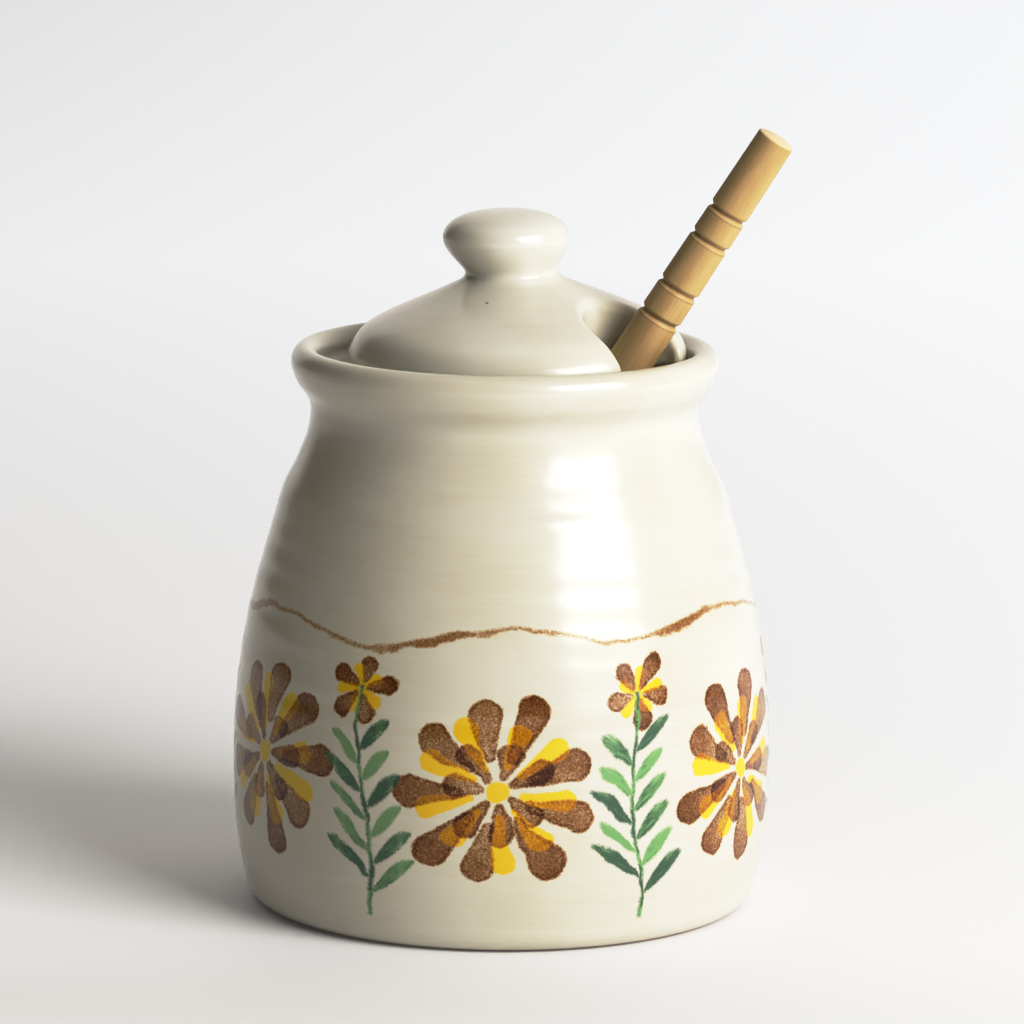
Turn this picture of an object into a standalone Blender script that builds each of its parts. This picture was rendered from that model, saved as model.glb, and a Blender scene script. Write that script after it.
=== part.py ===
"""Honey pot: a thrown stoneware jar, its domed lid notched for the dipper, and a turned wooden dipper.

Metres, +Z up. The origin is the centre of the jar's flat base. -Y is the front, and the dipper's
handle leans to +X. The lid is hand-thrown, so its knob stands a little off centre, and it lies
pushed to one side of the jar's mouth.
"""

from math import atan2, cos, degrees, pi, radians, sin, sqrt, tan

import bmesh
import bpy
from mathutils import Vector

MM = 0.001
MERGE = 1e-6
SMOOTH_BELOW = radians(40)

# Jar: radii and heights above the base
JAR_SEGMENTS = 56
FOOT_R = 46.0 * MM
FOOT_CORNER_R = 4.8 * MM
FOOT_CORNER_H = 5.0 * MM
BELLY_R = 53.1 * MM
BELLY_Z = 28.0 * MM
SHOULDER_R = 43.5 * MM
SHOULDER_Z = 82.7 * MM
NECK_R = 38.15 * MM
NECK_Z = 97.0 * MM
RIM_R = 42.1 * MM
RIM_Z = 107.2 * MM
RIM_CROWN_R = 39.35 * MM
JAR_H = 110.7 * MM
JAR_WALL = 4.8 * MM
FLOOR_Z = 6.0 * MM
FLOOR_CORNER = 8.0 * MM

# Gallery: the ledge inside the mouth that carries the lid
MOUTH_R = 36.5 * MM
GALLERY_R = 29.8 * MM
GALLERY_Z = 105.3 * MM
GALLERY_LIP = 1.0 * MM
GALLERY_THICK = 2.8 * MM
GALLERY_ROOT_Z = 98.0 * MM

# Lid: radii and heights above its own flat underside
LID_SEGMENTS = 56
LID_R = 33.2 * MM
LID_EDGE_Z = 3.3 * MM
LID_SEAT_R = 32.9 * MM
LID_HOLLOW_R = 15.0 * MM
LID_HOLLOW_H = 7.0 * MM
LID_NECK_R = 8.9 * MM
LID_NECK_Z = 18.7 * MM
KNOB_R = 12.45 * MM
KNOB_Z = 25.3 * MM
KNOB_CAP_H = 5.7 * MM
KNOB_SQUARENESS = 2.4
KNOB_OFFSET = -1.8 * MM
KNOB_OFFSET_FROM_Z = 13.0 * MM
LID_PLACE = Vector((2.33, 0.0, 106.4)) * MM
LID_TILT = radians(-1.33)

# Notch in the lid's edge, where the dipper's handle comes out
NOTCH_AZIMUTH = radians(-33.6)
NOTCH_CENTRE_R = 28.0 * MM
NOTCH_R = 10.3 * MM
NOTCH_FILLET = 1.2 * MM
NOTCH_OVERRUN = 1.3
NOTCH_BELOW = 5.0 * MM

# Dipper: radii, and distances along its axis from the tip of its head
DIPPER_SEGMENTS = 20
HEAD_LENGTH = 36.0 * MM
HEAD_R = 10.6 * MM
HEAD_END_R = 7.6 * MM
HEAD_NOSE_SHARE = 0.75
HEAD_NOSE_RISE = 0.3 * MM
HEAD_NOSE_H = 1.4 * MM
HEAD_DISCS = 7
HEAD_GROOVE_R = 4.4 * MM
HEAD_GROOVE_SHARE = 0.42
HANDLE_ROOT_R = 3.6 * MM
HANDLE_ROOT_LENGTH = 2.0 * MM
HANDLE_FULL_R = 4.5 * MM
HANDLE_FULL_AT = 104.0 * MM
HANDLE_SWELL = 0.3 * MM
HANDLE_SWELL_LENGTH = 18.0 * MM
HANDLE_TOP_R = 3.8 * MM
HANDLE_RINGS = (16.4 * MM, 22.8 * MM, 34.0 * MM, 40.7 * MM)
RING_DEPTH = 0.7 * MM
RING_HALF_WIDTH = 0.8 * MM
HANDLE_CAP_H = 1.6 * MM
DIPPER_LENGTH = 171.2 * MM
DIPPER_TOP = Vector((52.2, -16.1, 154.2)) * MM
LEAN_TO_SIDE = radians(31.85)
LEAN_TO_FRONT = radians(5.5)

GLAZE = (0.665, 0.612, 0.448, 1.0)
BEECH = (0.604, 0.386, 0.176, 1.0)


def clear_scene():
    for obj in list(bpy.data.objects):
        bpy.data.objects.remove(obj, do_unlink=True)


def material(name, colour, roughness):
    made = bpy.data.materials.new(name)
    made.use_nodes = True
    shader = made.node_tree.nodes["Principled BSDF"]
    shader.inputs["Base Color"].default_value = colour
    shader.inputs["Roughness"].default_value = roughness
    shader.inputs["Metallic"].default_value = 0.0
    return made


def arc(centre, radii, start, end, steps):
    """Points of an elliptical arc in the (radius, height) plane, with its angles in degrees."""
    angles = [radians(start + (end - start) * i / steps) for i in range(steps + 1)]
    return [(centre[0] + radii[0] * cos(a), centre[1] + radii[1] * sin(a)) for a in angles]


def spline(stations, steps):
    """A Catmull-Rom curve through the stations, with its end tangents along the end spans."""
    points = [Vector(p) for p in stations]
    points = [2 * points[0] - points[1]] + points + [2 * points[-1] - points[-2]]
    curve = []
    for a, b, c, d in zip(points, points[1:], points[2:], points[3:]):
        for i in range(steps):
            t = i / steps
            p = 2 * b + (c - a) * t + (2 * a - 5 * b + 4 * c - d) * t ** 2 + (3 * b - a - 3 * c + d) * t ** 3
            curve.append((p.x / 2, p.y / 2))
    return curve + [tuple(stations[-1])]


def mm_points(*pairs):
    return [(r * MM, z * MM) for r, z in pairs]


def turned(name, outline, segments, finish):
    """A solid of revolution about Z, from an outline that starts and ends on the axis."""
    bm = bmesh.new()
    verts = [bm.verts.new((r, 0.0, z)) for r, z in outline]
    edges = [bm.edges.new(pair) for pair in zip(verts, verts[1:])]
    bmesh.ops.spin(bm, geom=verts + edges, cent=(0, 0, 0), axis=(0, 0, 1), angle=2 * pi, steps=segments)
    bmesh.ops.remove_doubles(bm, verts=bm.verts, dist=MERGE)
    bmesh.ops.recalc_face_normals(bm, faces=bm.faces)
    return placed(name, bm, finish)


def placed(name, bm, finish):
    mesh = bpy.data.meshes.new(name)
    bm.to_mesh(mesh)
    bm.free()
    mesh.shade_smooth()
    mesh.set_sharp_from_angle(angle=SMOOTH_BELOW)
    obj = bpy.data.objects.new(name, mesh)
    bpy.context.scene.collection.objects.link(obj)
    if finish:
        mesh.materials.append(finish)
    return obj


def jar_wall_outline():
    """The jar's outer side, from the foot's corner up to the rim's widest line."""
    corner = arc((FOOT_R, FOOT_CORNER_H), (FOOT_CORNER_R, FOOT_CORNER_H), -90, 0, 5)
    belly = spline([corner[-1], (52.4 * MM, 13.5 * MM), (BELLY_R, BELLY_Z)]
                   + mm_points((52.5, 43.0), (50.1, 58.5), (46.7, 71.5))
                   + [(SHOULDER_R, SHOULDER_Z)], 2)
    neck = spline([(SHOULDER_R, SHOULDER_Z)] + mm_points((41.0, 87.7), (39.1, 92.4))
                  + [(NECK_R, NECK_Z)] + mm_points((38.6, 100.4), (40.9, 103.6))
                  + [(RIM_R, RIM_Z)], 2)
    return corner + belly[1:] + neck[1:]


def jar_outline():
    wall = jar_wall_outline()
    rim_height = JAR_H - RIM_Z
    rim_outside = arc((RIM_CROWN_R, RIM_Z), (RIM_R - RIM_CROWN_R, rim_height), 0, 90, 4)
    rim_inside = arc((RIM_CROWN_R, RIM_Z), (RIM_CROWN_R - MOUTH_R, rim_height), 90, 180, 4)
    seat = mm_points((36.2, 105.8), (35.5, 105.3))
    lip = arc((GALLERY_R + GALLERY_LIP, GALLERY_Z - GALLERY_LIP), (GALLERY_LIP, GALLERY_LIP), 90, 180, 3)
    under = [(GALLERY_R, GALLERY_Z - GALLERY_THICK)]
    inside = [(r - JAR_WALL, z) for r, z in reversed(wall)
              if FLOOR_Z + FLOOR_CORNER < z < GALLERY_ROOT_Z]
    foot_r = inside[-1][0] - FLOOR_CORNER
    floor = arc((foot_r, FLOOR_Z + FLOOR_CORNER), (FLOOR_CORNER, FLOOR_CORNER), 0, -90, 4)
    return ([(0, 0)] + wall + rim_outside[1:] + rim_inside[1:] + seat + lip + under
            + inside + floor + [(0, FLOOR_Z)])


def knob_cap():
    """The knob's flattened crown: a quarter of a superellipse, from the top down to its widest line."""
    steps = 6
    points = []
    for i in range(steps + 1):
        a = pi / 2 * (1 - i / steps)
        r = KNOB_R * cos(a) ** (2 / KNOB_SQUARENESS) if i else 0.0
        points.append((r, KNOB_Z + KNOB_CAP_H * sin(a) ** (2 / KNOB_SQUARENESS)))
    return points


def lid_outline():
    stem = spline([(KNOB_R, KNOB_Z)] + mm_points((11.6, 23.1), (10.2, 21.0))
                  + [(LID_NECK_R, LID_NECK_Z)] + mm_points((10.6, 17.2)), 2)
    dome = spline(mm_points((10.6, 17.2), (15.0, 15.3), (26.0, 10.6), (30.8, 7.5))
                  + [(LID_R, LID_EDGE_Z)], 3)
    edge = mm_points((33.15, 1.6)) + [(LID_SEAT_R, 0.0)]
    hollow = spline([(LID_HOLLOW_R, 0.0)] + mm_points((13.6, 3.6), (8.5, 6.1))
                    + [(0.0, LID_HOLLOW_H)], 2)
    return knob_cap() + stem[1:] + dome[1:] + edge + hollow


def knob_shift(z):
    """How far the thrown knob stands off the lid's axis at height z."""
    t = min(max((z - KNOB_OFFSET_FROM_Z) / (KNOB_Z - KNOB_OFFSET_FROM_Z), 0.0), 1.0)
    return KNOB_OFFSET * t * t * (3 - 2 * t)


def notch_outline():
    """Half of the notch in plan: a round end, then a fillet into the lid's edge, then out past it."""
    reach = NOTCH_R + NOTCH_FILLET
    inset = LID_R - NOTCH_FILLET
    fillet_x = (inset ** 2 - reach ** 2 + NOTCH_CENTRE_R ** 2) / (2 * NOTCH_CENTRE_R)
    fillet_y = sqrt(inset ** 2 - fillet_x ** 2)
    meet = degrees(atan2(fillet_y, fillet_x - NOTCH_CENTRE_R))
    leave = degrees(atan2(fillet_y, fillet_x))
    end = arc((NOTCH_CENTRE_R, 0), (NOTCH_R, NOTCH_R), 180, meet, 7)
    fillet = arc((fillet_x, fillet_y), (NOTCH_FILLET, NOTCH_FILLET), meet - 180, leave, 4)
    past = (fillet[-1][0] * NOTCH_OVERRUN, fillet[-1][1] * NOTCH_OVERRUN)
    return end + fillet[1:] + [past]


def notch_cutter(parent):
    half = notch_outline()
    outline = half + [(x, -y) for x, y in reversed(half[1:])]
    bm = bmesh.new()
    ring = [bm.verts.new((x, y, -NOTCH_BELOW)) for x, y in outline]
    face = bm.faces.new(ring)
    grown = bmesh.ops.extrude_face_region(bm, geom=[face])
    raised = [v for v in grown["geom"] if isinstance(v, bmesh.types.BMVert)]
    bmesh.ops.translate(bm, verts=raised, vec=(0, 0, NOTCH_BELOW + KNOB_Z))
    bmesh.ops.recalc_face_normals(bm, faces=bm.faces)
    cutter = placed("notch_cutter", bm, None)
    cutter.parent = parent
    cutter.rotation_euler = (0, 0, NOTCH_AZIMUTH)
    cutter.hide_render = True
    cutter.display_type = "WIRE"
    return cutter


def make_lid(finish):
    lid = turned("lid", lid_outline(), LID_SEGMENTS, finish)
    for vertex in lid.data.vertices:
        vertex.co.x += knob_shift(vertex.co.z)
    lid.location = LID_PLACE
    lid.rotation_euler = (0, LID_TILT, 0)
    cut = lid.modifiers.new("notch", "BOOLEAN")
    cut.operation = "DIFFERENCE"
    cut.solver = "EXACT"
    cut.object = notch_cutter(lid)
    return lid


def head_outline():
    """The grooved head: discs on a core, under an envelope that is widest in the middle."""
    def envelope(z):
        t = 2 * z / HEAD_LENGTH - 1
        return HEAD_END_R + (HEAD_R - HEAD_END_R) * (1 - t * t)

    pitch = HEAD_LENGTH / HEAD_DISCS
    points = [(0.0, 0.0)]
    for i in range(HEAD_DISCS):
        low = i * pitch
        high = low + pitch * (1 - HEAD_GROOVE_SHARE)
        if i:
            points.append((HEAD_GROOVE_R, low))
            points.append((envelope(low), low))
        else:
            points.append((HEAD_END_R * HEAD_NOSE_SHARE, HEAD_NOSE_RISE))
            points.append((HEAD_END_R, HEAD_NOSE_H))
        points.append((envelope(high), high))
        points.append((HEAD_GROOVE_R if i < HEAD_DISCS - 1 else HANDLE_ROOT_R, high))
    return points


def handle_outline():
    """The handle, thickest where it is held, with turned rings near its domed top."""
    top_corner = DIPPER_LENGTH - HANDLE_CAP_H

    def radius(z):
        t = (z - HANDLE_FULL_AT) / (top_corner - HANDLE_FULL_AT)
        return HANDLE_FULL_R + (HANDLE_TOP_R - HANDLE_FULL_R) * t

    points = [
        (HANDLE_ROOT_R, HEAD_LENGTH + HANDLE_ROOT_LENGTH),
        (HANDLE_FULL_R - HANDLE_SWELL, HANDLE_FULL_AT - HANDLE_SWELL_LENGTH),
        (HANDLE_FULL_R, HANDLE_FULL_AT),
    ]
    for distance in reversed(HANDLE_RINGS):
        at = top_corner - distance
        points.append((radius(at), at - RING_HALF_WIDTH))
        points.append((radius(at) - RING_DEPTH, at))
        points.append((radius(at), at + RING_HALF_WIDTH))
    cap = arc((0, top_corner), (HANDLE_TOP_R, HANDLE_CAP_H), 0, 90, 3)
    return points + cap[:-1] + [(0, DIPPER_LENGTH)]


def make_dipper(finish):
    dipper = turned("dipper", head_outline() + handle_outline(), DIPPER_SEGMENTS, finish)
    direction = Vector((tan(LEAN_TO_SIDE), -tan(LEAN_TO_FRONT), 1)).normalized()
    dipper.rotation_mode = "QUATERNION"
    dipper.rotation_quaternion = Vector((0, 0, 1)).rotation_difference(direction)
    dipper.location = DIPPER_TOP - direction * DIPPER_LENGTH
    return dipper


def main():
    clear_scene()
    glaze = material("cream_glaze", GLAZE, 0.14)
    beech = material("beech", BEECH, 0.55)
    turned("pot", jar_outline(), JAR_SEGMENTS, glaze)
    make_lid(glaze)
    make_dipper(beech)


main()
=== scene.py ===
"""Looks of the honey pot: glossy cream stoneware with a hand-painted band, and a turned beech dipper.

Metres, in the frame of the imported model: +Z up, origin at the centre of the jar's base, -Y the front.
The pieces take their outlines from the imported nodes, one meridian each, and draw them as smooth curves.
"""

from collections import namedtuple
from math import cos, pi, radians, sin, sqrt, tan

import bmesh
import bpy
import numpy as np
from mathutils import Matrix, Vector


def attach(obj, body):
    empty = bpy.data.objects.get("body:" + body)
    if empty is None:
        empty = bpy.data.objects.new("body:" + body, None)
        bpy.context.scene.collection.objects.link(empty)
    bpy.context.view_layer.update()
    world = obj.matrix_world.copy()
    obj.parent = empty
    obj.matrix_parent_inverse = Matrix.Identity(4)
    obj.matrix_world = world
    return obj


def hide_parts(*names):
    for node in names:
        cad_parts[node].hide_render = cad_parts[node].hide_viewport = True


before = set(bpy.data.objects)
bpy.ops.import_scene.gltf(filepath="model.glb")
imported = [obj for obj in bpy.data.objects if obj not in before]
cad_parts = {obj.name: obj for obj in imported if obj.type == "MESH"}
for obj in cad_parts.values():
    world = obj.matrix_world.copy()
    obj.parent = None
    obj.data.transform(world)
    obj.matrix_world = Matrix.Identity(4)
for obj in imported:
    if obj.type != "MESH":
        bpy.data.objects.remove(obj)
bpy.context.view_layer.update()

MM = 0.001
SEED = 7

# Camera: the photograph's viewing angle
CAMERA_PLACE = (0.0, -1.250, 0.3022)
CAMERA_PITCH = radians(-10.20)
CAMERA_YAW = radians(-0.074)
CAMERA_ROLL = radians(0.54)
SENSOR = 36.0
LENS = 226.6

# The view's tones
VIEW_GAMMA = 0.75
TONE_CURVE = ((0.0, 0.0), (0.18, 0.155), (0.35, 0.31), (0.50, 0.50), (0.65, 0.705), (0.80, 0.845),
              (1.0, 0.945))

# Softboxes: (elevation, height, power). Azimuth 0 is in front of the pot and 90 to its right.
KEY_AZIMUTH = 47
KEY_DISTANCE = 1.6
KEY_WIDTH = 1.05
KEY_COLOUR = (1.0, 0.99, 0.975)
KEY_HIGH = (27, 0.72, 27.0)
KEY_LOW = (8, 0.40, 3.5)
AIM_HEIGHT = 0.06

# The floor and the room
FLOOR_REACH = 6.0
FLOOR_COLOUR = (0.862, 0.859, 0.864, 1.0)
FLOOR_GLOW_COLOUR = (0.87, 0.93, 1.0, 1.0)
FLOOR_GLOW = 0.06
FLOOR_GLOW_FAR = 0.40
FLOOR_GLOW_SIDE = 0.42
FLOOR_SHADE_FRONT = 0.08
ROOM_DIM = (0.02, 0.019, 0.018, 1.0)
ROOM_BRIGHT = (0.85, 0.815, 0.775, 1.0)
ROOM_LOW_LEFT = (0.20, 0.165, 0.105, 1.0)
BACKDROP = (0.87, 0.88, 0.91, 1.0)

# The lid's and the dipper's own frames, as the solids have them
LID_PLACE = Vector((2.33, 0.0, 106.4)) * MM
LID_TILT = radians(-1.33)
LID_FRAME = Matrix.Translation(LID_PLACE) @ Matrix.Rotation(LID_TILT, 4, "Y")
KNOB_OFFSET = -1.8 * MM
KNOB_OFFSET_FROM_Z = 13.0 * MM
KNOB_OFFSET_TO_Z = 25.3 * MM
NOTCH_AZIMUTH = radians(-33.6)
NOTCH_CENTRE_R = 28.0 * MM
NOTCH_R = 10.3 * MM
NOTCH_FILLET = 1.8 * MM
IRON_SPOT = Vector((-5.61, -15.21, 14.81)) * MM
IRON_SPOT_R = 0.30 * MM
DIPPER_LENGTH = 171.2 * MM
DIPPER_TOP = Vector((52.2, -16.1, 154.2)) * MM
DIPPER_AXIS = Vector((tan(radians(31.85)), -tan(radians(5.5)), 1.0)).normalized()
DIPPER_TIP = DIPPER_TOP - DIPPER_AXIS * DIPPER_LENGTH
DIPPER_FRAME = (Matrix.Translation(DIPPER_TIP)
                @ Vector((0, 0, 1)).rotation_difference(DIPPER_AXIS).to_matrix().to_4x4())
DIPPER_END_H = 0.75 * MM
DIPPER_HEAD_TO_Z = 45 * MM
HANDLE_END_R = 3.8 * MM
GROOVES_FROM_Z = 120 * MM
GROOVE_DEPTH = 0.7 * MM

# Darkening in the dipper's grooves, partly burnish and partly painted shade in the hollow, and a painted
# shade line below each where a burr's edge shades: strength and width, and the line's drop
GROOVE_BURNISH_AND_SHADE = 0.5
GROOVE_BURNISH_AND_SHADE_WIDTH = 0.28 * MM
BURR_SHADE_LINE = 0.4
BURR_SHADE_LINE_WIDTH = 0.13 * MM
BURR_SHADE_LINE_BELOW = 0.95 * MM

# The jar's parts, by radius and height
BELLY_FROM_R = 37.0 * MM
BELLY_TO_Z = 70 * MM
RIM_FROM_R = 29.0 * MM
RIM_FROM_Z = 102 * MM
HALF_WALL = 2.4 * MM

# Fineness of the meshes
POT_SEGMENTS = 336
POT_STEPS = {"rim": 0.45 * MM, "belly": 0.62 * MM, "neck": 0.8 * MM, "inside": 3.5 * MM}
DIPPER_SEGMENTS = 72
DIPPER_STEPS = {"groove": 0.12 * MM, "plain": 2.0 * MM, "other": 0.32 * MM}
GROOVE_REACH = 1.5 * MM
LID_VOXEL = 0.48 * MM
LID_PASSES = 3
BATCH = 20000

# Reading a node's outline: how near points are to be one, or to lie on the axis or on the meridian
WELD = 0.01 * MM
AXIS_GAP = 0.02 * MM
MERIDIAN_GAP = 0.005 * MM
TILTED_MERIDIAN_GAP = 0.02 * MM

# An outline stays sharp where it turns by more than this
CORNER = radians(40)

# The mesh attribute that keeps a piece's own coordinates for its materials
OWN_PLACE = "own_place"

# Throwing ridges in mm: pitch from and to, depth from and to. Then how far the jar is out of round.
RIDGES = 7
RIDGE_PITCH = (3.5, 9.0)
RIDGE_DEPTH = (0.012, 0.028)
OUT_OF_ROUND = 0.08

# Heights that the ridges start and end at, and how far they take to fade in and out there
RIDGES_FROM_Z = 4 * MM
RIDGES_TO_Z = 100 * MM
RIDGES_FADE_IN = 8 * MM
RIDGES_FADE_OUT = 10 * MM

# The painted band: a motif repeated round the belly, in mm across and in mm up the wall from the foot
REPEATS = 6
PAINT_R = 50.0
CELL = 2 * pi * PAINT_R / REPEATS
FOOT_ARC = 46.0
FLOWER_HEIGHT = 36.0
FLOWER_HEART_R = 2.0
# Petals: how many, how far from the centre they start, their length, and their half widths at root and tip
Petals = namedtuple("Petals", "count start length root tip")
FLOWER_OUTER = Petals(9, 7.0, 8.8, 1.0, 3.15)
FLOWER_INNER = Petals(7, 3.0, 5.2, 0.7, 2.3)
FLOWER_GOLD = Petals(9, 5.0, 7.8, 0.7, 2.2)
BUD_BROWN = Petals(5, 1.6, 3.6, 0.6, 1.9)
BUD_GOLD = Petals(5, 0.8, 3.2, 0.5, 1.2)
SPRIG_LOW = 13.0
SPRIG_HIGH = 52.0
LEAF_PITCH = 5.6
LEAF_SLOPE = 1.15
LEAF_CURL = 0.035
LEAF_LENGTH = 15.5
LEAF_LENGTH_LOST = 5.5
LEAF_HALF_WIDTH = 1.35
LOWEST_LEAF = 13.5
HIGHEST_LEAF = 44.0
STEM_HALF_WIDTH = 0.42
LINE_HEIGHT = 64.5
LINE_HALF_WIDTH = 0.36
WOBBLE_SIZE = 7 * MM
SHIVER_SIZE = 1.8 * MM
GRIT_SIZE = 0.46 * MM
POOL_SIZE = 5 * MM

# The glaze
GLAZE_ROUGHNESS = 0.34
GLAZE_SPECULAR = 0.25
COAT_ROUGHNESS = 0.17
COAT_IOR = 1.43
GLAZE_RELIEF = 0.10 * MM
SPECK_CELL = 9 * MM
# Heights of the foot's bare clay, its dark brown also painted shade at the floor: bare below the first,
# glazed above the second
BARE_CLAY_AND_FOOT_SHADE_BELOW_Z = (0.4 * MM, 0.9 * MM)

# The wood
WOOD_ROUGHNESS = 0.52
WOOD_IOR = 1.45
WOOD_RELIEF = 0.05 * MM


def join_outline(node, to_frame, on_meridian):
    """A turned node's outline as (radius, height) pairs, walked along one meridian from the axis."""
    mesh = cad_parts[node].data
    flat = np.zeros(len(mesh.vertices) * 3)
    mesh.vertices.foreach_get("co", flat)
    inverse = np.array(to_frame.inverted())
    own = flat.reshape(-1, 3) @ inverse[:3, :3].T + inverse[:3, 3]
    radius, height = on_meridian(own)
    chosen = ~np.isnan(radius)
    keys = {}
    number = {}
    for i in np.flatnonzero(chosen):
        key = (round(radius[i] / WELD), round(height[i] / WELD))
        number[i] = keys.setdefault(key, len(keys))
    points = np.array(list(keys), float) * WELD
    links = {i: set() for i in range(len(points))}
    for edge in mesh.edges:
        a, b = edge.vertices
        if chosen[a] and chosen[b] and number[a] != number[b]:
            links[number[a]].add(number[b])
            links[number[b]].add(number[a])
    loose = [i for i in links if len(links[i]) == 1 and points[i][0] > AXIS_GAP]
    for i in loose:
        level = [j for j in loose if j != i and abs(points[j][1] - points[i][1]) < AXIS_GAP]
        if level:
            links[i].add(level[0])
        else:
            links[len(points)] = {i}
            links[i].add(len(points))
            points = np.vstack([points, [(0.0, points[i][1])]])
    on_axis = [i for i in links if points[i][0] < AXIS_GAP]
    walked = [min(on_axis, key=lambda i: points[i][1])]
    while True:
        onward = [i for i in links[walked[-1]] if i not in walked]
        if not onward:
            return points[walked]
        walked.append(onward[0])


def smooth_curve(points, step):
    """A dense curve through the points, rounded everywhere but at sharp corners."""
    spans = np.diff(points, axis=0)
    lengths = np.hypot(spans[:, 0], spans[:, 1])
    slopes = spans / lengths[:, None]
    into = np.vstack([slopes[:1], slopes])
    out = np.vstack([slopes, slopes[-1:]])
    before = np.append(lengths[:1], lengths)
    after = np.append(lengths, lengths[-1:])
    blended = (into * after[:, None] + out * before[:, None]) / (before + after)[:, None]
    sharp = (into * out).sum(1) < cos(CORNER)
    pull = np.minimum(before, after)[:, None]
    curve = []
    for i, length in enumerate(lengths):
        start = out[i] * length if sharp[i] else blended[i] * pull[i]
        end = into[i + 1] * length if sharp[i + 1] else blended[i + 1] * pull[i + 1]
        t = np.linspace(0, 1, max(2, int(length / step) + 1))[:-1, None]
        curve.append((1 + 2 * t) * (1 - t) ** 2 * points[i] + t * (1 - t) ** 2 * start
                     + t * t * (3 - 2 * t) * points[i + 1] - t * t * (1 - t) * end)
    return np.vstack(curve + [points[-1:]])


def arc_lengths(curve):
    return np.append(0.0, np.cumsum(np.hypot(*np.diff(curve, axis=0).T)))


def softened(curve, reach):
    """The curve with its corners rounded off over about that reach, its ends kept on the axis."""
    step = 0.05 * MM
    along = arc_lengths(curve)
    even = np.arange(0, along[-1], step)
    r = np.interp(even, along, curve[:, 0])
    z = np.interp(even, along, curve[:, 1])
    half = int(3 * reach / step)
    weights = np.exp(-0.5 * (np.arange(-half, half + 1) * step / reach) ** 2)
    weights /= weights.sum()
    r = np.concatenate([-r[half:0:-1], r, -r[-2:-half - 2:-1]])
    z = np.concatenate([z[half:0:-1], z, z[-2:-half - 2:-1]])
    return np.stack([np.convolve(r, weights, "valid"), np.convolve(z, weights, "valid")], 1)


def respaced(curve, spacing):
    """Points along the curve at a spacing that depends on where they are: spacing(radius, height)."""
    along = arc_lengths(curve)
    density = 1 / spacing(curve[:, 0], curve[:, 1])
    middle = (density[1:] + density[:-1]) / 2
    count = np.append(0.0, np.cumsum(middle * np.diff(along)))
    wanted = np.linspace(0, count[-1], int(count[-1]) + 2)
    at = np.interp(wanted, count, along)
    return np.stack([np.interp(at, along, curve[:, 0]), np.interp(at, along, curve[:, 1])], 1), at


def lathe(name, rings, along, segments, place, shape=None):
    """A turned mesh with a UV map of turns across and metres along the outline up."""
    ring_count = len(rings) - 2
    turn = 2 * pi * np.arange(segments) / segments
    r, z = rings[1:-1, 0], rings[1:-1, 1]
    level = np.repeat(z[:, None], segments, 1)
    grid = np.stack([r[:, None] * np.cos(turn), r[:, None] * np.sin(turn), level], -1)
    if shape:
        grid = shape(grid, turn)
    verts = np.vstack([grid.reshape(-1, 3), [(0, 0, rings[0, 1])], [(0, 0, rings[-1, 1])]])
    first, last = ring_count * segments, ring_count * segments + 1
    faces = []
    spots = []
    for i in range(segments):
        j = (i + 1) % segments
        faces.append((first, j, i))
        spots.append(((i + 0.5, 0), (i + 1, 1), (i, 1)))
        for k in range(ring_count - 1):
            a, b = k * segments, (k + 1) * segments
            faces.append((a + i, a + j, b + j, b + i))
            spots.append(((i, k + 1), (i + 1, k + 1), (i + 1, k + 2), (i, k + 2)))
        top = (ring_count - 1) * segments
        faces.append((top + i, top + j, last))
        spots.append(((i, ring_count), (i + 1, ring_count), (i + 0.5, ring_count + 1)))
    mesh = bpy.data.meshes.new(name)
    mesh.from_pydata(verts.tolist(), [], faces)
    layer = mesh.uv_layers.new(name="wall")
    flat = np.array([spot for face in spots for spot in face], float)
    uv = np.stack([flat[:, 0] / segments, along[flat[:, 1].astype(int)]], 1)
    layer.data.foreach_set("uv", uv.astype(np.float32).ravel())
    return set_down(name, mesh, place)


def set_down(name, mesh, place):
    """A piece with its place in its mesh, and its own coordinates kept for its materials."""
    mesh.validate()
    mesh.shade_smooth()
    flat = np.zeros(len(mesh.vertices) * 3, np.float32)
    mesh.vertices.foreach_get("co", flat)
    mesh.attributes.new(OWN_PLACE, "FLOAT_VECTOR", "POINT").data.foreach_set("vector", flat)
    mesh.transform(place)
    obj = bpy.data.objects.new(name, mesh)
    bpy.context.scene.collection.objects.link(obj)
    return obj


def facing_out(obj):
    """Turns the mesh's faces outwards, if it came out inside out."""
    bm = bmesh.new()
    bm.from_mesh(obj.data)
    if bm.calc_volume(signed=True) < 0:
        bmesh.ops.reverse_faces(bm, faces=bm.faces)
    bm.to_mesh(obj.data)
    bm.free()
    return obj


class Field:
    """A number worked out at each shaded point: arithmetic on fields makes math nodes."""

    def __init__(self, tree, socket):
        self.tree = tree
        self.socket = socket

    def math(self, operation, *others, clamp=False):
        node = self.tree.nodes.new("ShaderNodeMath")
        node.operation = operation
        node.use_clamp = clamp
        for slot, value in enumerate((self,) + others):
            put(self.tree, node.inputs[slot], value)
        return Field(self.tree, node.outputs[0])

    def __add__(self, other):
        return self.math("ADD", other)

    def __sub__(self, other):
        return self.math("SUBTRACT", other)

    def __mul__(self, other):
        return self.math("MULTIPLY", other)

    def __truediv__(self, other):
        return self.math("DIVIDE", other)

    def __neg__(self):
        return self * -1.0

    def clamped(self):
        return self.math("ADD", 0.0, clamp=True)

    def over(self, low, high):
        """0 below low, 1 above high, and smooth between."""
        node = self.tree.nodes.new("ShaderNodeMapRange")
        node.interpolation_type = "SMOOTHSTEP"
        put(self.tree, node.inputs["Value"], self)
        node.inputs["From Min"].default_value = low
        node.inputs["From Max"].default_value = high
        return Field(self.tree, node.outputs["Result"])


def put(tree, socket, value):
    if isinstance(value, Field):
        tree.links.new(value.socket, socket)
    elif isinstance(value, bpy.types.NodeSocket):
        tree.links.new(value, socket)
    else:
        socket.default_value = value


def length_of(x, y):
    return (x * x + y * y).math("SQRT")


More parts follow.
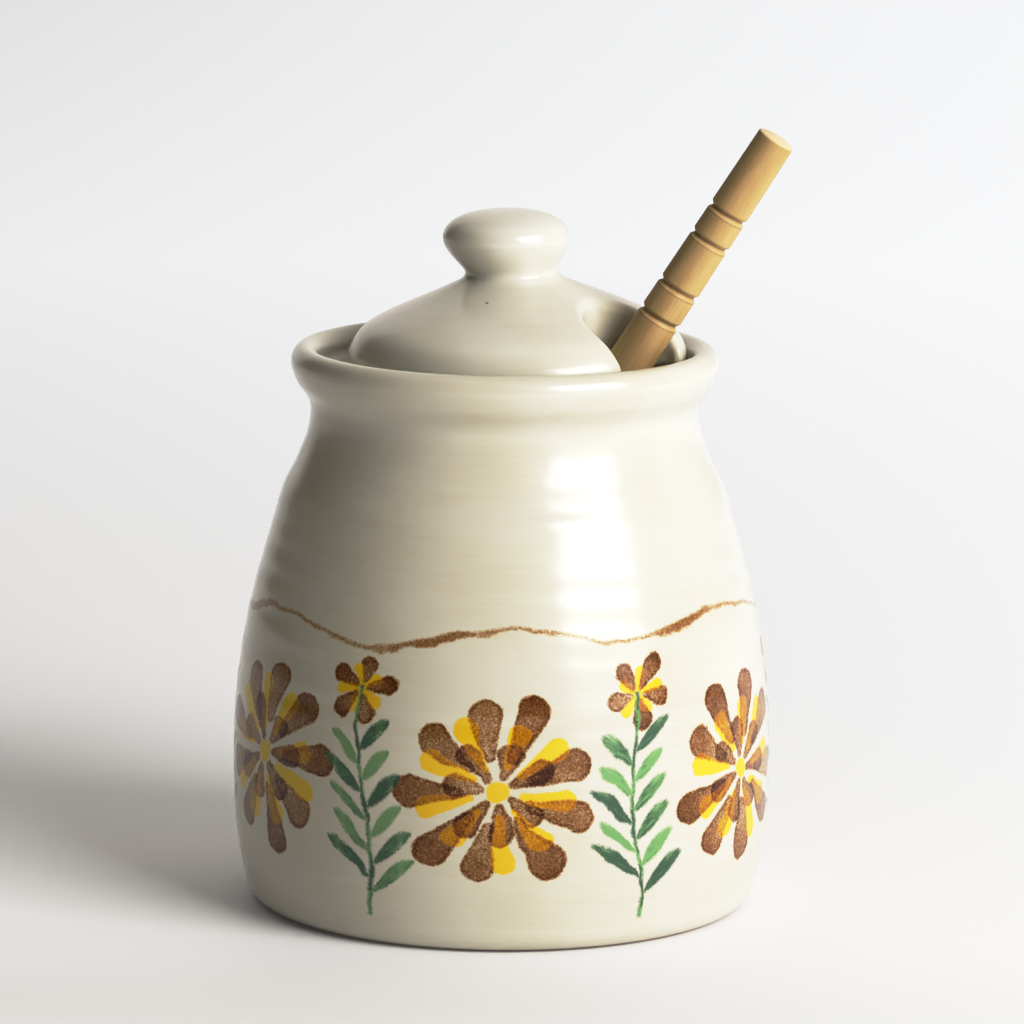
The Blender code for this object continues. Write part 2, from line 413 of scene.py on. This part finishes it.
def mixed(tree, share, under, top):
    """Colour mixed from under to top by a share from 0 to 1."""
    node = tree.nodes.new("ShaderNodeMix")
    node.data_type = "RGBA"
    put(tree, node.inputs["Factor"], share)
    put(tree, node.inputs["A"], under)
    put(tree, node.inputs["B"], top)
    return node.outputs["Result"]


def noise(tree, vector, feature, detail=2.0, roughness=0.5):
    """A noise from 0 to 1 with features of about that size in metres."""
    node = tree.nodes.new("ShaderNodeTexNoise")
    node.inputs["Scale"].default_value = 1 / feature
    node.inputs["Detail"].default_value = detail
    node.inputs["Roughness"].default_value = roughness
    put(tree, node.inputs["Vector"], vector)
    return Field(tree, node.outputs["Fac"])


def stretched(tree, vector, scale):
    node = tree.nodes.new("ShaderNodeMapping")
    node.inputs["Scale"].default_value = scale
    put(tree, node.inputs["Vector"], vector)
    return node.outputs["Vector"]


def new_material(name):
    made = bpy.data.materials.new(name)
    made.use_nodes = True
    tree = made.node_tree
    shader = tree.nodes["Principled BSDF"]
    own = tree.nodes.new("ShaderNodeAttribute")
    own.attribute_name = OWN_PLACE
    return made, tree, shader, own.outputs["Vector"]


def bumped(tree, shader, height, distance, strength=1.0):
    node = tree.nodes.new("ShaderNodeBump")
    node.inputs["Distance"].default_value = distance
    node.inputs["Strength"].default_value = strength
    put(tree, node.inputs["Height"], height)
    tree.links.new(node.outputs["Normal"], shader.inputs["Normal"])


# Colours of the glaze, the paints and the wood, linear. STAIN is what one wash of brown lets through.
CREAM = (0.628, 0.604, 0.524, 1.0)
CREAM_THIN = (0.600, 0.572, 0.478, 1.0)
# The lid's cream is a lighter copy of the jar's: painted light, standing in for brighter lighting on the lid.
LID_CREAM_PAINTED_LIGHTER = (0.660, 0.642, 0.570, 1.0)
LID_CREAM_PAINTED_LIGHTER_THIN = (0.636, 0.612, 0.524, 1.0)
# Bare clay at the foot, dark enough to be painted shade where the jar meets the floor as well.
CLAY_AND_FOOT_SHADE = (0.420, 0.330, 0.230, 1.0)
SPECK = (0.130, 0.090, 0.060, 1.0)
STAIN = (0.480, 0.278, 0.132)
YELLOW = (0.690, 0.500, 0.010, 1.0)
LEAF_DARK = (0.026, 0.105, 0.058, 1.0)
LEAF_LIGHT = (0.190, 0.350, 0.150, 1.0)
BEECH = (0.455, 0.332, 0.174, 1.0)
BEECH_PALE = (0.510, 0.388, 0.216, 1.0)
BEECH_DARK = (0.300, 0.205, 0.105, 1.0)
END_GRAIN = (0.700, 0.570, 0.405, 1.0)
# The grooves' dark brown: partly burnish, partly painted shade in the hollows and below them.
GROOVE_BURNISH_AND_SHADE_COLOUR = (0.150, 0.085, 0.040, 1.0)


def teardrop(across, along, length, root, tip):
    """Depth in mm inside a brush stroke with a thin root and a round tip, from their half widths."""
    t = (along / length).clamped()
    off = length_of(along - t * length, across)
    return t * (tip - root) + root - off


def whorl(x, y, petals, turn, uneven):
    """The nearest of several teardrops round one centre: depth inside it, its own number, place along it."""
    sector = 2 * pi / petals.count
    angle = x.math("ARCTAN2", y) + turn
    index = (angle / sector).math("ROUND")
    bend = angle - index * sector
    reach = length_of(x, y)
    vary = (index.math("FLOORED_MODULO", petals.count) * 2.4 + uneven).math("SINE")
    across = reach * (bend + vary * 0.07).math("SINE")
    along = reach * bend.math("COSINE") - petals.start
    depth = teardrop(across, along / (vary * 0.11 + 1.0), petals.length, petals.root, petals.tip)
    return depth, vary, along / petals.length


def leaves(x, y, length, seed):
    """The nearest of a ladder of slender leaves on a stem at x = 0.

    Gives the depth inside it, its own number, and the place along and across it. Only the leaves whose feet
    lie between LOWEST_LEAF and HIGHEST_LEAF are there.
    """
    ax = x.math("ABSOLUTE")
    side = (x * 50.0).over(-1.0, 1.0)
    level = y - ax * LEAF_SLOPE + ax * ax * LEAF_CURL - side * (LEAF_PITCH * 0.45)
    index = (level / LEAF_PITCH).math("ROUND")
    steep = sqrt(1 + LEAF_SLOPE * LEAF_SLOPE)
    across = (level - index * LEAF_PITCH) / steep
    own = (index * 2.7 + side * 1.9 + seed * 1.3).math("SINE")
    t = (ax * steep / length / (own * 0.12 + 1.0)).clamped()
    half = (t * pi).math("SINE").math("POWER", 0.72) * (-t * 0.35 + 1.1) * LEAF_HALF_WIDTH - t.over(0.9, 1.0)
    depth = half - across.math("ABSOLUTE") - 0.12
    foot = index * LEAF_PITCH + side * (LEAF_PITCH * 0.45)
    there = (foot - LOWEST_LEAF).math("MINIMUM", -foot + HIGHEST_LEAF) * 100.0
    return depth.math("MINIMUM", there), own, t, across


def streaks(tree, along, across, seed):
    """Bristle marks that run along a brush stroke, from 0 to 1."""
    joined = tree.nodes.new("ShaderNodeCombineXYZ")
    put(tree, joined.inputs["X"], along * 0.35)
    put(tree, joined.inputs["Y"], across * 2.6)
    put(tree, joined.inputs["Z"], seed * 7.0)
    return noise(tree, joined.outputs[0], 1.0, 2.0)


def stained(tree, colour, washes):
    """The colour under a number of washes of brown stain: each one lets the same share through."""
    clear = tree.nodes.new("ShaderNodeCombineColor")
    for channel, share in zip(("Red", "Green", "Blue"), STAIN):
        power = tree.nodes.new("ShaderNodeMath")
        power.operation = "POWER"
        power.inputs[0].default_value = share
        put(tree, power.inputs[1], washes)
        tree.links.new(power.outputs[0], clear.inputs[channel])
    node = tree.nodes.new("ShaderNodeMix")
    node.data_type = "RGBA"
    node.blend_type = "MULTIPLY"
    node.inputs["Factor"].default_value = 1.0
    put(tree, node.inputs["A"], colour)
    put(tree, node.inputs["B"], clear.outputs[0])
    return node.outputs["Result"]


def painted(tree, uv, grain, base):
    """The painted band over the base colour: flowers, leafy sprigs between them, and a line above."""
    split = tree.nodes.new("ShaderNodeSeparateXYZ")
    tree.links.new(uv, split.inputs[0])
    wobble = noise(tree, grain, WOBBLE_SIZE, 2.0) - 0.5
    shiver = noise(tree, grain, SHIVER_SIZE, 2.0) - 0.5
    grit = noise(tree, grain, GRIT_SIZE, 2.0, 0.75) - 0.5
    turns = Field(tree, split.outputs["X"]) * float(REPEATS)
    height = Field(tree, split.outputs["Y"]) * 1000.0 - FOOT_ARC
    y = height + wobble * 1.8 + shiver * 0.5

    def across_from(shift):
        lane = turns + shift
        index = lane.math("FLOOR")
        along = (lane - index - 0.5) * CELL + wobble * 2.4 + shiver * 0.5
        return along, index.math("FLOORED_MODULO", float(REPEATS))

    def inside(depth, soft=0.35):
        return (depth + grit * 0.75).over(-soft, soft)

    x_flower, flower = across_from(0.0)
    x_flower = x_flower + (flower * 2.1).math("SINE") * 1.2
    y_flower = y - FLOWER_HEIGHT + (flower * 1.7).math("SINE") * 1.5
    tilt = (flower * 3.3).math("SINE") * 0.35
    outer = whorl(x_flower, y_flower, FLOWER_OUTER, tilt, flower * 1.3)
    inner = whorl(x_flower, y_flower, FLOWER_INNER, tilt + 0.4, flower * 0.7)
    gold, _, _ = whorl(x_flower, y_flower, FLOWER_GOLD, tilt + 0.19, flower * 2.2)
    heart = -length_of(x_flower, y_flower) + FLOWER_HEART_R

    x_sprig, sprig = across_from(0.5)
    x_sprig = x_sprig - (y * 0.11 + sprig * 1.4).math("SINE") * 1.6
    rise = ((y - SPRIG_LOW) / (SPRIG_HIGH - SPRIG_LOW)).clamped()
    leaf, shade, t, across = leaves(x_sprig, y, rise * -LEAF_LENGTH_LOST + LEAF_LENGTH, sprig)
    stem = -x_sprig.math("ABSOLUTE") + STEM_HALF_WIDTH + shiver * 0.3
    stem = stem.math("MINIMUM", (y - SPRIG_LOW + 4.0).math("MINIMUM", -y + SPRIG_HIGH + 2.0))
    bud_y = y - SPRIG_HIGH - 1.5
    bud = whorl(x_sprig, bud_y, BUD_BROWN, sprig * 0.9, sprig * 1.1)
    bud_gold, _, _ = whorl(x_sprig, bud_y, BUD_GOLD, sprig * 0.9 + 0.5, sprig * 0.6)

    wave = (turns * 2.0 * pi).math("COSINE") * 1.9 + (turns * 2 * pi / 3).math("SINE") + wobble * 3.0
    knots = (turns * 2 * pi + wobble * 2.0).math("SINE").over(0.35, 1.0)
    line = -(height - LINE_HEIGHT + wave).math("ABSOLUTE") + LINE_HALF_WIDTH + knots * 0.38 + wobble * 0.6

    gilt = inside(gold, 0.15).math("MAXIMUM", inside(heart, 0.15)).math("MAXIMUM", inside(bud_gold, 0.15))
    colour = mixed(tree, gilt * 0.97, base, YELLOW)
    pooling = noise(tree, grain, POOL_SIZE, 2.0) - 0.5
    washes = inside(line, 0.4) * (grit * 2.0 + knots * 0.35 + 0.62)
    for depth, own, along in (outer, inner, bud):
        rim = (-depth + grit * 1.6).over(-0.95, 0.1)
        drawn = along * 0.40 + own * 0.18 + pooling * 1.3
        load = (rim * 0.65 + drawn + grit * 3.0 + 0.78).math("MAXIMUM", 0.35)
        washes = washes + inside(depth) * load * (gilt * -0.42 + 1.0)
    colour = stained(tree, colour, washes)
    bristles = streaks(tree, t * 12.0, across, sprig) - 0.5
    tone = (shade * 0.55 - t * 0.5 + bristles * 1.7 + grit * 0.5 + 0.62).over(0.0, 1.0)
    green = mixed(tree, tone, LEAF_LIGHT, LEAF_DARK)
    dry = (t - bristles * 1.1).over(1.15, 0.72)
    leaf_share = (inside(leaf, 0.28) * dry).math("MAXIMUM", inside(stem, 0.3))
    return mixed(tree, leaf_share * 0.92, colour, green)


def glaze(name, thick, thin, with_band):
    """Clear glossy glaze over cream slip, with a few iron specks, and bare clay under the jar's foot whose
    dark brown is also painted shade where the jar meets the floor.
    """
    made, tree, shader, spot = new_material(name)
    cloud = noise(tree, spot, 22 * MM, 3.0)
    throwing = noise(tree, stretched(tree, spot, (0.05, 0.05, 1.0)), 0.9 * MM, 3.0, 0.6)
    colour = mixed(tree, (cloud + throwing * 0.5).over(0.60, 0.95), thick, thin)
    if with_band:
        wall = tree.nodes.new("ShaderNodeUVMap")
        wall.uv_map = "wall"
        colour = painted(tree, wall.outputs["UV"], spot, colour)
    cells = tree.nodes.new("ShaderNodeTexVoronoi")
    cells.inputs["Scale"].default_value = 1 / SPECK_CELL
    tree.links.new(spot, cells.inputs["Vector"])
    tint = tree.nodes.new("ShaderNodeSeparateColor")
    tree.links.new(cells.outputs["Color"], tint.inputs[0])
    size = Field(tree, tint.outputs[0]).over(0.86, 1.0) * 0.040
    speck = (size - Field(tree, cells.outputs["Distance"])).over(-0.006, 0.012)
    if with_band:
        split = tree.nodes.new("ShaderNodeSeparateXYZ")
        tree.links.new(spot, split.inputs[0])
        # Bare clay at the foot, its dark also painted shade along the floor; rough and uncoated there.
        full, none = BARE_CLAY_AND_FOOT_SHADE_BELOW_Z
        bare_clay_and_foot_shade = (-Field(tree, split.outputs["Z"])).over(-none, -full)
        colour = mixed(tree, bare_clay_and_foot_shade, colour, CLAY_AND_FOOT_SHADE)
        put(tree, shader.inputs["Roughness"], bare_clay_and_foot_shade * 0.4 + GLAZE_ROUGHNESS)
        put(tree, shader.inputs["Coat Weight"], -bare_clay_and_foot_shade + 1.0)
    else:
        off = tree.nodes.new("ShaderNodeVectorMath")
        off.operation = "DISTANCE"
        off.inputs[1].default_value = IRON_SPOT
        tree.links.new(spot, off.inputs[0])
        near = (Field(tree, off.outputs["Value"]) / -IRON_SPOT_R).over(-1.3, -0.6)
        speck = speck.math("MAXIMUM", near)
        shader.inputs["Roughness"].default_value = GLAZE_ROUGHNESS
        shader.inputs["Coat Weight"].default_value = 1.0
    tree.links.new(mixed(tree, speck * 0.85, colour, SPECK), shader.inputs["Base Color"])
    shader.inputs["Specular IOR Level"].default_value = GLAZE_SPECULAR
    shader.inputs["Coat Roughness"].default_value = COAT_ROUGHNESS
    shader.inputs["Coat IOR"].default_value = COAT_IOR
    ripple = noise(tree, stretched(tree, spot, (1.0, 1.0, 2.2)), 9 * MM, 2.0)
    bumped(tree, shader, ripple + throwing * 0.08, GLAZE_RELIEF)
    return made


def beech(name, burnish_and_shade_attribute):
    """Bare turned beech: long fine grain, short dark flecks, and grooves darkened partly by burnish and
    partly by painted shade.
    """
    made, tree, shader, spot = new_material(name)
    fibre = noise(tree, stretched(tree, spot, (1.0, 1.0, 0.045)), 0.45 * MM, 3.0, 0.6)
    growth = noise(tree, stretched(tree, spot, (1.0, 1.0, 0.12)), 3.2 * MM, 2.0)
    fleck = noise(tree, stretched(tree, spot, (1.0, 1.0, 0.10)), 0.30 * MM, 1.0)
    colour = mixed(tree, growth.over(0.3, 0.7), BEECH, BEECH_PALE)
    colour = mixed(tree, fibre.over(0.5, 0.85) * 0.42, colour, BEECH_DARK)
    colour = mixed(tree, fleck.over(0.66, 0.76) * 0.35, colour, BEECH_DARK)
    depth = tree.nodes.new("ShaderNodeAttribute")
    depth.attribute_name = burnish_and_shade_attribute
    burnish_and_shade = Field(tree, depth.outputs["Fac"])
    # Darkened in and below the grooves: partly burnish, partly painted shade.
    colour = mixed(tree, burnish_and_shade, colour, GROOVE_BURNISH_AND_SHADE_COLOUR)
    split = tree.nodes.new("ShaderNodeSeparateXYZ")
    tree.links.new(spot, split.inputs[0])
    end = Field(tree, split.outputs["Z"]).over(DIPPER_LENGTH - 0.95 * MM, DIPPER_LENGTH - 0.65 * MM)
    pores = noise(tree, spot, 0.35 * MM, 2.0)
    colour = mixed(tree, end * (pores * 0.5 + 0.6).clamped(), colour, END_GRAIN)
    tree.links.new(colour, shader.inputs["Base Color"])
    shader.inputs["Roughness"].default_value = WOOD_ROUGHNESS
    shader.inputs["IOR"].default_value = WOOD_IOR
    bumped(tree, shader, fibre, WOOD_RELIEF, 0.6)
    return made


def pot_piece():
    def on_meridian(own):
        off = (np.abs(own[:, 1]) > MERIDIAN_GAP) | (own[:, 0] < -MERIDIAN_GAP)
        return np.where(off, np.nan, own[:, 0]), own[:, 2]

    outline = join_outline("pot", Matrix.Identity(4), on_meridian)
    curve = softened(smooth_curve(outline, 0.2 * MM), 0.7 * MM)

    def outer_wall(z):
        """Halfway through the jar's wall at each height."""
        side = outline[(outline[:, 1] > 1 * MM) & (outline[:, 0] > BELLY_FROM_R)]
        rising = side[: int(np.argmax(side[:, 1])) + 1]
        return np.interp(z, rising[:, 1], rising[:, 0]) - HALF_WALL

    def spacing(r, z):
        outside = (r > BELLY_FROM_R) & (r > outer_wall(z))
        rim = (z > RIM_FROM_Z) & (r > RIM_FROM_R)
        wall = np.where(z < BELLY_TO_Z, POT_STEPS["belly"], POT_STEPS["neck"])
        return np.where(rim, POT_STEPS["rim"], np.where(outside, wall, POT_STEPS["inside"]))

    rings, along = respaced(curve, spacing)
    rng = np.random.default_rng(SEED)
    waves = [(rng.uniform(*RIDGE_PITCH), rng.integers(1, 3), rng.uniform(0, 2 * pi),
              rng.uniform(*RIDGE_DEPTH)) for _ in range(RIDGES)]
    lobes = [(n, rng.uniform(0, 2 * pi), OUT_OF_ROUND / n) for n in (2, 3, 4)]

    def thrown(grid, turn):
        """Throwing ridges that wind up the wall, and a trace of out-of-round."""
        z = grid[..., 2]
        r = np.hypot(grid[..., 0], grid[..., 1])
        swell = sum(a * np.sin(2 * pi * z / (pitch * MM) + n * turn + phase) for pitch, n, phase, a in waves)
        swell = swell + sum(a * np.sin(n * turn + phase) for n, phase, a in lobes)
        fade_in = np.clip((z - RIDGES_FROM_Z) / RIDGES_FADE_IN, 0, 1)
        share = fade_in * np.clip((RIDGES_TO_Z - z) / RIDGES_FADE_OUT, 0, 1)
        grown = 1 + swell * MM * share * (r > outer_wall(z)) / np.maximum(r, MM)
        return np.stack([grid[..., 0] * grown, grid[..., 1] * grown, z], -1)

    pot = lathe("pot_body", rings, along, POT_SEGMENTS, Matrix.Identity(4), thrown)
    pot.data.materials.append(glaze("painted_glaze", CREAM, CREAM_THIN, True))
    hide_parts("pot")
    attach(facing_out(pot), "root")


def lid_distance(outline, shift_at):
    """A function that says how far points in the lid's frame lie outside its glazed surface."""
    a, b = outline[:-1], outline[1:]
    span = b - a
    size = (span ** 2).sum(1)

    def turned_distance(p):
        r = np.hypot(p[:, 0] - shift_at(p[:, 2]), p[:, 1])
        q = np.stack([r, p[:, 2]], 1)
        found = np.empty(len(q))
        for low in range(0, len(q), BATCH):
            part = q[low:low + BATCH, None, :]
            t = np.clip(((part - a) * span).sum(2) / size, 0, 1)
            near = a + t[..., None] * span
            found[low:low + BATCH] = np.sqrt(((part - near) ** 2).sum(2).min(1))
        crossings = np.zeros(len(q), int)
        for (r0, z0), (r1, z1) in zip(a, b):
            if z0 != z1:
                spans = (q[:, 1] < z0) != (q[:, 1] < z1)
                cut = r0 + (q[:, 1] - z0) / (z1 - z0) * (r1 - r0)
                crossings += spans & (q[:, 0] < cut)
        return np.where(crossings % 2 == 1, -found, found)

    def notch_distance(p):
        """Distance outside the notch, a round cut straight down through the lid."""
        x = p[:, 0] * cos(NOTCH_AZIMUTH) + p[:, 1] * sin(NOTCH_AZIMUTH) - NOTCH_CENTRE_R
        y = np.abs(-p[:, 0] * sin(NOTCH_AZIMUTH) + p[:, 1] * cos(NOTCH_AZIMUTH))
        return np.hypot(x, y) - NOTCH_R

    def distance(p):
        """Outside the turned form or inside the notch, with the edge between them rounded."""
        body = turned_distance(p)
        notch = -notch_distance(p)
        r = NOTCH_FILLET
        both = np.hypot(np.maximum(body + r, 0), np.maximum(notch + r, 0))
        return np.minimum(np.maximum(body, notch), -r) + both

    return distance


def lid_piece():
    def shift_at(z):
        """How far the knob stands off the lid's axis at each height."""
        t = np.clip((z - KNOB_OFFSET_FROM_Z) / (KNOB_OFFSET_TO_Z - KNOB_OFFSET_FROM_Z), 0, 1)
        return KNOB_OFFSET * t * t * (3 - 2 * t)

    def on_meridian(p):
        off = (np.abs(p[:, 0] - shift_at(p[:, 2])) > TILTED_MERIDIAN_GAP) | (p[:, 1] < -MERIDIAN_GAP)
        return np.where(off, np.nan, p[:, 1]), p[:, 2]

    outline = join_outline("lid", LID_FRAME, on_meridian)
    curve = softened(smooth_curve(outline, 0.2 * MM), 0.5 * MM)
    coarse, _ = respaced(curve, lambda r, z: np.full(len(r), 0.5 * MM))
    distance = lid_distance(coarse, shift_at)

    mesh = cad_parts["lid"].data.copy()
    mesh.transform(LID_FRAME.inverted())
    mesh.materials.clear()
    lid = bpy.data.objects.new("lid_solid", mesh)
    bpy.context.scene.collection.objects.link(lid)
    remesh = lid.modifiers.new("even", "REMESH")
    remesh.mode = "VOXEL"
    remesh.voxel_size = LID_VOXEL
    graph = bpy.context.evaluated_depsgraph_get()
    fine = bpy.data.meshes.new_from_object(lid.evaluated_get(graph))
    bpy.data.objects.remove(lid)
    flat = np.zeros(len(fine.vertices) * 3)
    fine.vertices.foreach_get("co", flat)
    p = flat.reshape(-1, 3)
    nudge = 0.02 * MM
    for _ in range(LID_PASSES):
        d = distance(p)
        slope = np.stack([(distance(p + step) - d) / nudge for step in np.eye(3) * nudge], 1)
        p = p - slope * (d / np.maximum((slope ** 2).sum(1), 0.25))[:, None]
    fine.vertices.foreach_set("co", p.astype(np.float32).ravel())
    fine.update()
    # The lid's glaze is painted lighter than the jar's, as painted light.
    fine.materials.append(glaze("cream_glaze", LID_CREAM_PAINTED_LIGHTER, LID_CREAM_PAINTED_LIGHTER_THIN, False))
    lid = set_down("lid_body", fine, LID_FRAME)
    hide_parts("lid")
    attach(lid, "root")


def dipper_piece():
    def on_meridian(own):
        off = (np.abs(own[:, 1]) > TILTED_MERIDIAN_GAP) | (own[:, 0] < -MERIDIAN_GAP)
        return np.where(off, np.nan, own[:, 0]), own[:, 2]

    outline = join_outline("dipper", DIPPER_FRAME, on_meridian)
    barrel = outline[: int(np.flatnonzero(outline[:, 0] > HANDLE_END_R - WELD)[-1])]
    dome = [(HANDLE_END_R * s, DIPPER_LENGTH - DIPPER_END_H * s * s) for s in (1.0, 0.75, 0.5, 0.25, 0.0)]
    outline = np.vstack([barrel, dome])
    curve = softened(smooth_curve(outline, 0.1 * MM), 0.10 * MM)
    bottoms = [z for (r0, _), (r, z), (r1, _) in zip(outline, outline[1:], outline[2:])
               if z > GROOVES_FROM_Z and r < min(r0, r1) - GROOVE_DEPTH / 2]

    def spacing(r, z):
        plain = (z > DIPPER_HEAD_TO_Z) & (z < GROOVES_FROM_Z)
        near = np.min([np.abs(z - bottom) for bottom in bottoms], axis=0)
        coarse = np.where(plain, DIPPER_STEPS["plain"], DIPPER_STEPS["other"])
        return np.where(near < GROOVE_REACH, DIPPER_STEPS["groove"], coarse)

    rings, along = respaced(curve, spacing)
    dipper = lathe("dipper_stick", rings, along, DIPPER_SEGMENTS, DIPPER_FRAME)
    # Darkening by ring: burnish and painted shade round each groove's bottom, and a painted shade line below
    # it.
    burnish_and_shade_by_ring = np.zeros(len(rings))
    for bottom in bottoms:
        off = rings[:, 1] - bottom
        burnish_and_shade_by_ring += GROOVE_BURNISH_AND_SHADE * np.exp(-(off / GROOVE_BURNISH_AND_SHADE_WIDTH) ** 2)
        burnish_and_shade_by_ring += BURR_SHADE_LINE * np.exp(-((off + BURR_SHADE_LINE_BELOW) / BURR_SHADE_LINE_WIDTH) ** 2)
    shade = np.append(np.repeat(burnish_and_shade_by_ring[1:-1], DIPPER_SEGMENTS), [0.0, 0.0])
    dipper.data.attributes.new("groove", "FLOAT", "POINT").data.foreach_set("value", shade.astype(np.float32))
    dipper.data.materials.append(beech("beech", "groove"))
    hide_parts("dipper")
    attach(facing_out(dipper), "root")


def camera():
    data = bpy.data.cameras.new("camera")
    data.sensor_width = SENSOR
    data.lens = LENS
    data.clip_start = 0.05
    data.clip_end = 50
    cam = bpy.data.objects.new("camera", data)
    bpy.context.scene.collection.objects.link(cam)
    level = Matrix.Rotation(CAMERA_YAW, 4, "Z") @ Matrix.Rotation(pi / 2 + CAMERA_PITCH, 4, "X")
    cam.matrix_world = Matrix.Translation(CAMERA_PLACE) @ level @ Matrix.Rotation(CAMERA_ROLL, 4, "Z")
    bpy.context.scene.camera = cam


def softbox(name, elevation, height, power):
    """A rectangular lamp at the key's azimuth that faces the pot."""
    data = bpy.data.lights.new(name, "AREA")
    data.shape = "RECTANGLE"
    data.size = KEY_WIDTH
    data.size_y = height
    data.energy = power
    data.color = KEY_COLOUR
    lamp = bpy.data.objects.new(name, data)
    bpy.context.scene.collection.objects.link(lamp)
    a, e = radians(KEY_AZIMUTH), radians(elevation)
    way = Vector((sin(a) * cos(e), -cos(a) * cos(e), sin(e)))
    lamp.location = Vector((0, 0, AIM_HEIGHT)) + way * KEY_DISTANCE
    lamp.rotation_euler = way.to_track_quat("Z", "Y").to_euler()
    lamp.visible_camera = False


def floor():
    """A wide pale floor with a faint glow of its own, which grows far away and to the right."""
    bm = bmesh.new()
    bmesh.ops.create_grid(bm, x_segments=1, y_segments=1, size=FLOOR_REACH)
    mesh = bpy.data.meshes.new("floor")
    bm.to_mesh(mesh)
    bm.free()
    made = bpy.data.materials.new("pale_floor")
    made.use_nodes = True
    tree = made.node_tree
    shader = tree.nodes["Principled BSDF"]
    shader.inputs["Base Color"].default_value = FLOOR_COLOUR
    shader.inputs["Roughness"].default_value = 0.6
    shader.inputs["Specular IOR Level"].default_value = 0.2
    shader.inputs["Emission Color"].default_value = FLOOR_GLOW_COLOUR
    places = tree.nodes.new("ShaderNodeTexCoord")
    split = tree.nodes.new("ShaderNodeSeparateXYZ")
    tree.links.new(places.outputs["Object"], split.inputs[0])
    away = length_of(Field(tree, split.outputs["X"]), Field(tree, split.outputs["Y"]))
    side = Field(tree, split.outputs["X"]).over(-0.6, 0.6) - 0.5
    front = Field(tree, split.outputs["Y"]).over(-0.04, -0.10)
    glow = (away * 1.1).clamped() * FLOOR_GLOW_FAR + side * FLOOR_GLOW_SIDE - front * FLOOR_SHADE_FRONT
    put(tree, shader.inputs["Emission Strength"], (glow + FLOOR_GLOW).math("MAXIMUM", 0.0))
    mesh.materials.append(made)
    obj = bpy.data.objects.new("floor", mesh)
    bpy.context.scene.collection.objects.link(obj)


def sky():
    """The room: bright behind the pot and overhead, dim at its sides and dark in front."""
    world = bpy.data.worlds.new("room")
    bpy.context.scene.world = world
    world.use_nodes = True
    tree = world.node_tree
    back = tree.nodes["Background"]
    places = tree.nodes.new("ShaderNodeTexCoord")
    split = tree.nodes.new("ShaderNodeSeparateXYZ")
    tree.links.new(places.outputs["Generated"], split.inputs[0])
    x, y, z = (Field(tree, split.outputs[axis]) for axis in "XYZ")
    behind = (y + x * 0.40).over(0.45, 0.65)
    above = (z + y * 0.35).over(0.55, 0.95)
    side = x.over(0.2, 0.9)
    glow = behind.math("MAXIMUM", above * 0.80).math("MAXIMUM", side * 0.25)
    low_left = (-x - z * 1.5).over(0.2, 0.8) * (-glow + 1.0)
    light = mixed(tree, glow, ROOM_DIM, ROOM_BRIGHT)
    tree.links.new(mixed(tree, low_left, light, ROOM_LOW_LEFT), back.inputs["Color"])
    path = tree.nodes.new("ShaderNodeLightPath")
    back.inputs["Strength"].default_value = 1.0
    pale = tree.nodes.new("ShaderNodeBackground")
    pale.inputs["Color"].default_value = BACKDROP
    pick = tree.nodes.new("ShaderNodeMixShader")
    tree.links.new(path.outputs["Is Camera Ray"], pick.inputs[0])
    tree.links.new(back.outputs[0], pick.inputs[1])
    tree.links.new(pale.outputs[0], pick.inputs[2])
    tree.links.new(pick.outputs[0], tree.nodes["World Output"].inputs["Surface"])


def studio():
    floor()
    sky()
    softbox("key", *KEY_HIGH)
    softbox("key_low", *KEY_LOW)
    view = bpy.context.scene.view_settings
    view.view_transform = "Standard"
    view.gamma = VIEW_GAMMA
    view.use_curve_mapping = True
    curve = view.curve_mapping.curves[3]
    curve.points[1].location = TONE_CURVE[-1]
    for point in TONE_CURVE[1:-1]:
        curve.points.new(*point)
    view.curve_mapping.update()


pot_piece()
lid_piece()
dipper_piece()
camera()
studio()
